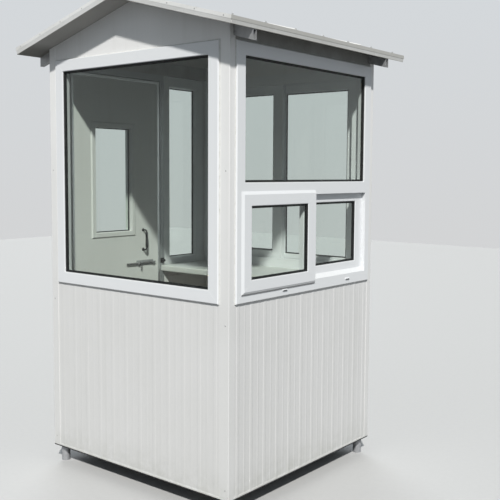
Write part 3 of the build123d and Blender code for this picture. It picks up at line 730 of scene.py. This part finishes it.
def finish_nodes():
    """Gives every node its own finish, or the one that its slot in the record names."""
    made = {name: make() for name, make in FINISHES.items()}
    for subpart in frame["record"]["subparts"]:
        node = subpart["node"]
        finish = made[OWN_FINISH.get(node, subpart["material_slot"])]
        for place in frame["nodes"][node].material_slots:
            place.material = finish
    return made


# The walls' turns and distances from the middle. On a wall u runs to the right as seen from
# outside, and depth runs inward from the outer face of the corner trims.
WALLS = {
    "front": (0, HALF_DEPTH),
    "right": (90, HALF_WIDTH),
    "back": (180, HALF_DEPTH),
    "left": (270, HALF_WIDTH),
}


def wall_matrix(side):
    """Carries (u, depth, z) of the named wall to its place."""
    turn, out = WALLS[side]
    return Matrix.Rotation(math.radians(turn), 4, "Z") @ Matrix.Translation((0, -out, 0))


def out_of(side, u, depth, z, turn=90):
    """A matrix whose +Z points out of a wall at a place on it, or into the room with turn -90."""
    tipped = Matrix.Rotation(math.radians(turn), 4, "X")
    return wall_matrix(side) @ Matrix.Translation((u, depth, z)) @ tipped


def wall_box(node, side):
    """A node's box in its wall's own (u, depth, z)."""
    back = wall_matrix(side).inverted()
    first, second = (back @ Vector(corner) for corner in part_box(node))
    low = [min(a, b) for a, b in zip(first, second)]
    high = [max(a, b) for a, b in zip(first, second)]
    return low, high


def roof_top(x):
    """Height of the roof's upper face at a distance from the ridge line."""
    return ROOF_HIGH[2] - ROOF_FALL * x


def add_piece(name, shape, material, body, smooth=False):
    """Makes a bmesh into a piece that moves with a body."""
    bmesh.ops.recalc_face_normals(shape, faces=shape.faces)
    mesh = bpy.data.meshes.new(name)
    shape.to_mesh(mesh)
    shape.free()
    if smooth:
        mesh.shade_smooth()
    piece = bpy.data.objects.new(name, mesh)
    scene.collection.objects.link(piece)
    mesh.materials.append(material)
    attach(piece, body)


def sides_into(shape, near, far):
    """Faces between two closed loops of vertices."""
    for index in range(len(near)):
        after = (index + 1) % len(near)
        shape.faces.new((near[index], near[after], far[after], far[index]))


def rod_into(shape, near, far):
    """A closed rod between two outlines."""
    first = [shape.verts.new(place) for place in near]
    last = [shape.verts.new(place) for place in far]
    sides_into(shape, first, last)
    shape.faces.new(first)
    shape.faces.new(list(reversed(last)))


def ring_into(shape, outline, section, matrix):
    """Carries a closed section round a rectangle, mitred. A section point is (inset, depth)."""
    u0, u1, z0, z1 = outline
    loops = []
    for along_u, along_z in ((0, 0), (1, 0), (1, 1), (0, 1)):
        loop = []
        for inset, depth in section:
            u = u1 - inset if along_u else u0 + inset
            z = z1 - inset if along_z else z0 + inset
            loop.append(shape.verts.new(matrix @ Vector((u, depth, z))))
        loops.append(loop)
    for here, there in zip(loops, loops[1:] + loops[:1]):
        sides_into(shape, here, there)


def lathe_into(shape, matrix, radius, height, profile, segments=16):
    """A round part that rises along +Z of its matrix."""
    rings = []
    for across, up in profile[1:]:
        loop = []
        for segment in range(segments):
            angle = 2 * math.pi * segment / segments
            x = across * radius * math.cos(angle)
            y = across * radius * math.sin(angle)
            loop.append(shape.verts.new(matrix @ Vector((x, y, up * height))))
        rings.append(loop)
    middle = shape.verts.new(matrix @ Vector((0, 0, profile[0][1] * height)))
    for index in range(segments):
        shape.faces.new((rings[0][(index + 1) % segments], rings[0][index], middle))
    for inner, outer in zip(rings, rings[1:]):
        sides_into(shape, inner, outer)
    shape.faces.new(rings[-1])


def pane_outlines(node, side, edge):
    """The sight opening of each pane in a node, with its outer and inner depth."""
    shape = bmesh.new()
    shape.from_mesh(frame["nodes"][node].data)
    bmesh.ops.remove_doubles(shape, verts=shape.verts, dist=1e-6)
    back = wall_matrix(side).inverted()
    found = []
    waiting = set(shape.verts)
    while waiting:
        pane = set()
        reached = [waiting.pop()]
        while reached:
            vert = reached.pop()
            pane.add(vert)
            for link in vert.link_edges:
                other = link.other_vert(vert)
                if other in waiting:
                    waiting.remove(other)
                    reached.append(other)
        us, depths, zs = zip(*(back @ vert.co for vert in pane))
        outline = (min(us) + edge, max(us) - edge, min(zs) + edge, max(zs) - edge)
        found.append((outline, min(depths), max(depths)))
    shape.free()
    return sorted(found)


def wedge(width, height, face, way):
    """A gasket's section: a rounded wedge between a frame and the face of its glass."""
    section = [(-GASKET_BITE, face), (-GASKET_BITE, face + way * height)]
    for across, up in GASKET_SLOPE:
        section.append((across * width, face + way * up * height))
    return section


def make_gaskets(rubber):
    """Black gaskets round every pane, outside and inside."""
    for node, side, edge, outer, inset, body in PANES:
        shape = bmesh.new()
        matrix = wall_matrix(side)
        for outline, front, back in pane_outlines(node, side, edge):
            u0, u1, z0, z1 = outline
            inner_outline = (u0 + inset, u1 - inset, z0 + inset, z1 - inset)
            ring_into(shape, outline, wedge(*outer, front, -1), matrix)
            ring_into(shape, inner_outline, wedge(*INNER_GASKET, back, 1), matrix)
        add_piece(node.replace("glass", "gaskets"), shape, rubber, body)


def make_trim_rivets(metal):
    """Blind rivets that hold the corner trims."""
    shape = bmesh.new()
    for side in ("front", "back"):
        for u in (RIVET_INSET - HALF_WIDTH, HALF_WIDTH - RIVET_INSET):
            for z in RIVET_HEIGHTS:
                lathe_into(shape, out_of(side, u, 0, z), RIVET_RADIUS, RIVET_HEIGHT, RIVET_PROFILE)
    add_piece("trim_rivets", shape, metal, "booth", smooth=True)


def make_rake_rivets(metal):
    """Small rivets along the folded edges of the roof's cover."""
    count = int(ROOF_HIGH[0] / RAKE_PITCH)
    pitch = (ROOF_HIGH[0] - 2 * RAKE_START) / count
    depth = HALF_DEPTH - ROOF_HIGH[1]
    shape = bmesh.new()
    for side in ("front", "back"):
        for way in (-1, 1):
            for index in range(count + 1):
                u = RAKE_START + index * pitch
                place = out_of(side, way * u, depth, roof_top(u) - RAKE_DROP)
                lathe_into(shape, place, RIVET_RADIUS, RIVET_HEIGHT, RIVET_PROFILE)
    add_piece("rake_rivets", shape, metal, "booth")


def make_roof_seams(paint):
    """Raised laps between the three sheets that cover each slope."""
    upright = MM / math.cos(ROOF_TILT)
    shape = bmesh.new()
    for way in (-1, 1):
        for y in (-SEAM_PLACE, SEAM_PLACE):
            ends = []
            for x in (CAP_EDGE - SEAM_UNDER_CAP, ROOF_HIGH[0] - SEAM_SHORT):
                z = roof_top(x) - BEDDING
                ends.append([(way * x, y + across * MM, z + up * upright) for across, up in SEAM_SECTION])
            rod_into(shape, *ends)
    add_piece("roof_seams", shape, paint, "booth")


def make_roof_screws(metal):
    """Hexagon screws on washers, along the eaves and both edges of the ridge cap."""
    shape = bmesh.new()
    for x, lift in ((CAP_EDGE - CAP_SCREW_INSET, CAP_SKIN), (ROOF_HIGH[0] - EAVE_SCREW_INSET, 0)):
        for way in (-1, 1):
            for index in range(ROOF_SCREW_COUNT):
                y = (ROOF_HIGH[1] - ROOF_SCREW_END) * (2 * index / (ROOF_SCREW_COUNT - 1) - 1)
                lean = Matrix.Rotation(way * ROOF_TILT, 4, "Y")
                washer = Matrix.Translation((way * x, y, roof_top(x) + lift)) @ lean
                screw = washer @ Matrix.Translation((0, 0, WASHER_SEAT))
                lathe_into(shape, washer, WASHER_RADIUS, WASHER_HEIGHT, WASHER_PROFILE, 20)
                lathe_into(shape, screw, ROOF_SCREW_RADIUS, ROOF_SCREW_HEIGHT, HEX_PROFILE, 6)
    add_piece("roof_screws", shape, metal, "booth")


def corners_of(outline, insets):
    """The four corners of a rectangle, each moved in by its side's inset (left, right, low, high)."""
    u0, u1, z0, z1 = outline
    left, right, low, high = insets
    return ((u0 + left, z0 + low), (u1 - right, z0 + low), (u1 - right, z1 - high), (u0 + left, z1 - high))


def weld_corners(shape, side, depth, outer, inner):
    """One low bead on a frame's face from each outer corner to its inner one."""
    matrix = wall_matrix(side)
    up = Vector((0, -WELD_HEIGHT, 0))
    for (u0, z0), (u1, z1) in zip(outer, inner):
        start = Vector((u0, depth, z0))
        end = Vector((u1, depth, z1))
        across = (end - start).normalized().cross(Vector((0, 1, 0))) * (WELD_WIDTH / 2)
        section = [share * across + rise * up for share, rise in WELD_SECTION]
        rod_into(shape, *([matrix @ (place + offset) for offset in section] for place in (start, end)))


def make_welds(plastic):
    """Fine weld beads across the corners of the frames and sashes."""
    shape = bmesh.new()
    even = [FRAME_BEVEL] * 4
    sight = [-SIGHT_BEVEL] * 4
    for node, side in (("front_window", "front"), ("side_window", "left")):
        low, high = wall_box(node + "_frame", side)
        pane = pane_outlines(node + "_glass", side, PANE_EDGE)[0][0]
        outer = (pane[0] - FRAME_FACE, pane[1] + FRAME_FACE, low[2], high[2])
        weld_corners(shape, side, low[1], corners_of(outer, even), corners_of(pane, sight))
    for node, side in (("right_window", "right"), ("back_window", "back")):
        low, high = wall_box(node + "_frame", side)
        outer = (low[0], high[0], low[2], high[2])
        lower = corners_of(outer, (SLIDER_SIDE, SLIDER_SIDE, SLIDER_SILL, 0))[:2]
        upper = corners_of(outer, (SLIDER_SIDE, SLIDER_SIDE, 0, FRAME_FACE))[2:]
        if node == "right_window":
            pane = pane_outlines(node + "_glass", side, PANE_EDGE)[0][0]
            upper = corners_of(pane, sight)[2:]
        weld_corners(shape, side, low[1], corners_of(outer, even), lower + upper)
    for node, glass, side in SLIDING:
        low, high = wall_box(node, side)
        pane = pane_outlines(glass, side, PANE_EDGE)[0][0]
        outer = (low[0], pane[1] + SASH_SIDE, low[2], high[2])
        around = corners_of(outer, (FLANGE_SLOPE, 0, FLANGE_SLOPE, FLANGE_SLOPE))
        weld_corners(shape, side, low[1], around, corners_of(pane, sight))
    add_piece("frame_welds", shape, plastic, "booth")


def make_sealant(putty):
    """A smoothed bead of sealant where three of the frames meet the trims and panels round them."""
    section = [(inset * MM, depth * MM) for inset, depth in SEALANT_SECTION]
    shape = bmesh.new()
    for side in ("front", "right", "back"):
        low, high = wall_box(side + "_window_frame", side)
        ring_into(shape, (low[0], high[0], low[2], high[2]), section, wall_matrix(side))
    add_piece("frame_sealant", shape, putty, "booth")


def make_sash_seals(pile):
    """Brush seals along the lower edge of the outer sashes; their dark strip is partly painted shadow under
    the sashes.
    """
    shape = bmesh.new()
    for node, glass, side in SLIDING:
        start, face, foot = wall_box(node, side)[0]
        pane = pane_outlines(glass, side, PANE_EDGE)[0][0]
        section = [(face + depth * MM, foot + rise * MM) for depth, rise in SEAL_SECTION]
        matrix = wall_matrix(side)
        ends = []
        for u in (start + SEAL_SHORT, pane[1] + SASH_SIDE):
            ends.append([matrix @ Vector((u, depth, z)) for depth, z in section])
        rod_into(shape, *ends)
    add_piece("sash_seals", shape, pile, "booth")


def make_door_trim(metal):
    """A thin folded edging round the inner face of the leaf."""
    low, high = wall_box("door_leaf", "left")
    outline = (low[0] + LEAF_REBATE, high[0] - LEAF_REBATE, low[2] + LEAF_REBATE, high[2] - LEAF_REBATE)
    section = [(inset * MM, high[1] + depth * MM) for inset, depth in EDGING_SECTION]
    shape = bmesh.new()
    ring_into(shape, outline, section, wall_matrix("left"))
    add_piece("door_edging", shape, metal, "door")


def make_pull_sleeves(plastic):
    """Moulded grips on the straight parts of the two pulls."""
    low, high = wall_box("door_pulls", "left")
    u = (low[0] + high[0]) / 2
    length = high[2] - low[2] - 2 * PULL_BEND
    shape = bmesh.new()
    for depth in (low[1] + PULL_RADIUS, high[1] - PULL_RADIUS):
        place = wall_matrix("left") @ Matrix.Translation((u, depth, low[2] + PULL_BEND))
        lathe_into(shape, place, SLEEVE_RADIUS, length, SLEEVE_PROFILE, 20)
    add_piece("pull_sleeves", shape, plastic, "door", smooth=True)


def make_outrigger_backs(zinc):
    """Plates that close the open side of the outriggers, so that they end as dark tubes."""
    low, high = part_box("outriggers")
    lower = OUTRIGGER_STEEL - PLATE_LAP - OUTRIGGER_HEIGHT
    upper = -OUTRIGGER_STEEL
    corners = ((HALF_WIDTH, lower), (high[0], lower), (high[0], upper), (HALF_WIDTH, upper))
    shape = bmesh.new()
    for face in (low[1] + OUTRIGGER_FLANGE, high[1]):
        for way in (-1, 1):
            ends = []
            for y in (face - PLATE_THICKNESS, face):
                ends.append([(way * x, y, RIDGE_UNDERSIDE - ROOF_FALL * x + height) for x, height in corners])
            rod_into(shape, *ends)
    add_piece("outrigger_backs", shape, zinc, "booth")


def make_roof_beads(paint):
    """The drip fold that runs back from the edge of the roof's cover to the foot of its panel."""
    eave = ROOF_HIGH[0] - ROOF_LIP
    rake = ROOF_HIGH[1] - ROOF_LIP
    reach = DRIP_SHARE * ROOF_LIP
    drop = Vector((0, 0, ROOF_COVER + DRIP_SHORT - ROOF_THICKNESS))
    shape = bmesh.new()
    for way in (-1, 1):
        folds = (
            ((0, -rake), (eave, -rake), (0, -reach, 0)),
            ((0, rake), (eave, rake), (0, reach, 0)),
            ((eave, -rake), (eave, rake), (way * reach, 0, -ROOF_FALL * ROOF_LIP)),
        )
        for start, end, out in folds:
            ends = []
            for x, y in (start, end):
                corner = Vector((way * x, y, roof_top(x) - ROOF_COVER + BEDDING))
                ends.append((corner, corner + Vector(out), corner + drop))
            rod_into(shape, *ends)
    add_piece("roof_beads", shape, paint, "booth")


def make_fitting_screws(metal):
    """Screws of the hinge plates and of the bolt's body."""
    low, high = wall_box("hinge_frame_plates", "left")
    frame_row = high[0] - HINGE_SCREW_INSET
    door_row = wall_box("hinge_door_plates", "left")[0][0] + HINGE_SCREW_INSET
    still = bmesh.new()
    moving = bmesh.new()
    for height in (low[2] + HINGE_HALF, (low[2] + high[2]) / 2, high[2] - HINGE_HALF):
        for rise, shift in HINGE_SCREWS:
            for shape, u in ((still, frame_row - shift), (moving, door_row + shift)):
                place = out_of("left", u, HINGE_FACE, height + rise)
                lathe_into(shape, place, SCREW_RADIUS, SCREW_HEIGHT, SCREW_PROFILE)
    low, high = wall_box("door_bolt_body", "left")
    for rise in (-BOLT_SCREW_RISE, BOLT_SCREW_RISE):
        for reach in (-BOLT_SCREW_REACH, BOLT_SCREW_REACH):
            u = (low[0] + high[0]) / 2 + reach
            place = out_of("left", u, BOLT_PLATE_FACE, (low[2] + high[2]) / 2 + rise, -90)
            lathe_into(moving, place, BOLT_SCREW_RADIUS, BOLT_SCREW_HEIGHT, SCREW_PROFILE)
    add_piece("hinge_screws", still, metal, "booth")
    add_piece("door_screws", moving, metal, "door")


def make_pull_roses(black):
    """Round roses under the ends of the two pulls."""
    low, high = wall_box("door_pulls", "left")
    u = (low[0] + high[0]) / 2
    shape = bmesh.new()
    for z in (low[2] + PULL_RADIUS, high[2] - PULL_RADIUS):
        for face, turn in ((LEAF_OUTER_FACE, 90), (LEAF_INNER_FACE, -90)):
            lathe_into(shape, out_of("left", u, face, z, turn), ROSE_RADIUS, ROSE_HEIGHT, ROSE_PROFILE, 24)
    add_piece("pull_roses", shape, black, "door")


def make_drain_caps(plastic, rubber):
    """Hooded drain caps on the sills of the sliding windows, each with a thin black plate under its hood that
    paints the shade of its slot.
    """
    caps = bmesh.new()
    slot_shades = bmesh.new()
    for side in ("right", "back"):
        low = wall_box(side + "_window_frame", side)[0]
        for u in DRAIN_PLACES:
            place = wall_matrix(side) @ Matrix.Translation((u, low[1], low[2] + DRAIN_ABOVE_SILL))
            hood_into(caps, place)
            slot_shade_into(slot_shades, place)
    add_piece("drain_caps", caps, plastic, "booth")
    add_piece("drain_slot_shades", slot_shades, rubber, "booth")


def hood_into(shape, place):
    """A cap with rounded ends and a sloped hood."""
    radius = DRAIN_HEIGHT / 2
    straight = DRAIN_LENGTH / 2 - radius
    rim = []
    for way in (1, -1):
        for step in range(HOOD_STEPS + 1):
            angle = math.pi * (step / HOOD_STEPS - 0.5)
            rim.append((way * (straight + radius * math.cos(angle)), way * radius * math.sin(angle)))
    loops = []
    for scale, share in HOOD_LEVELS:
        narrow = 1 - (1 - scale) * HOOD_NARROWING
        loop = []
        for u, z in rim:
            lean = 0.5 - 0.5 * z / radius
            depth = -DRAIN_PROUD * share * (HOOD_TOP_SHARE + (1 - HOOD_TOP_SHARE) * lean)
            loop.append(shape.verts.new(place @ Vector((u * narrow, depth, z * scale))))
        loops.append(loop)
    for lower, upper in zip(loops, loops[1:]):
        sides_into(shape, lower, upper)
    shape.faces.new(loops[-1])
    shape.faces.new(list(reversed(loops[0])))


def slot_shade_into(shape, place):
    """A thin black plate proud of the face of a hood: the painted shade of its slot."""
    front = -DRAIN_PROUD - SLOT_PROUD
    corners = ((-SLOT_HALF, SLOT_LOW), (SLOT_HALF, SLOT_LOW), (SLOT_HALF, SLOT_HIGH), (-SLOT_HALF, SLOT_HIGH))
    ends = []
    for depth in (front, front + SLOT_DEPTH):
        ends.append([place @ Vector((u, depth, z)) for u, z in corners])
    rod_into(shape, *ends)


make_camera()
make_sun("sun", SUN_TRAVEL, SUN_STRENGTH, SUN_ANGLE, SUN_COLOUR)
make_sun("fill", FILL_TRAVEL, FILL_STRENGTH, FILL_ANGLE, FILL_COLOUR)
make_world()
make_floor()
finishes = finish_nodes()
rubber = black_rubber()
metal = rivet_metal()
make_gaskets(rubber)
make_trim_rivets(metal)
make_drain_caps(finishes["window_plastic"], rubber)
make_welds(finishes["window_plastic"])
make_sealant(sealant())
make_rake_rivets(metal)
make_roof_screws(metal)
make_door_trim(finishes["sill_aluminium"])
make_pull_sleeves(finishes["black_metal"])
make_roof_beads(finishes["roof_sheet"])
make_roof_seams(finishes["roof_sheet"])
make_sash_seals(brush_pile())
make_outrigger_backs(finishes["dark_zinc"])
make_fitting_screws(metal)
make_pull_roses(finishes["black_metal"])
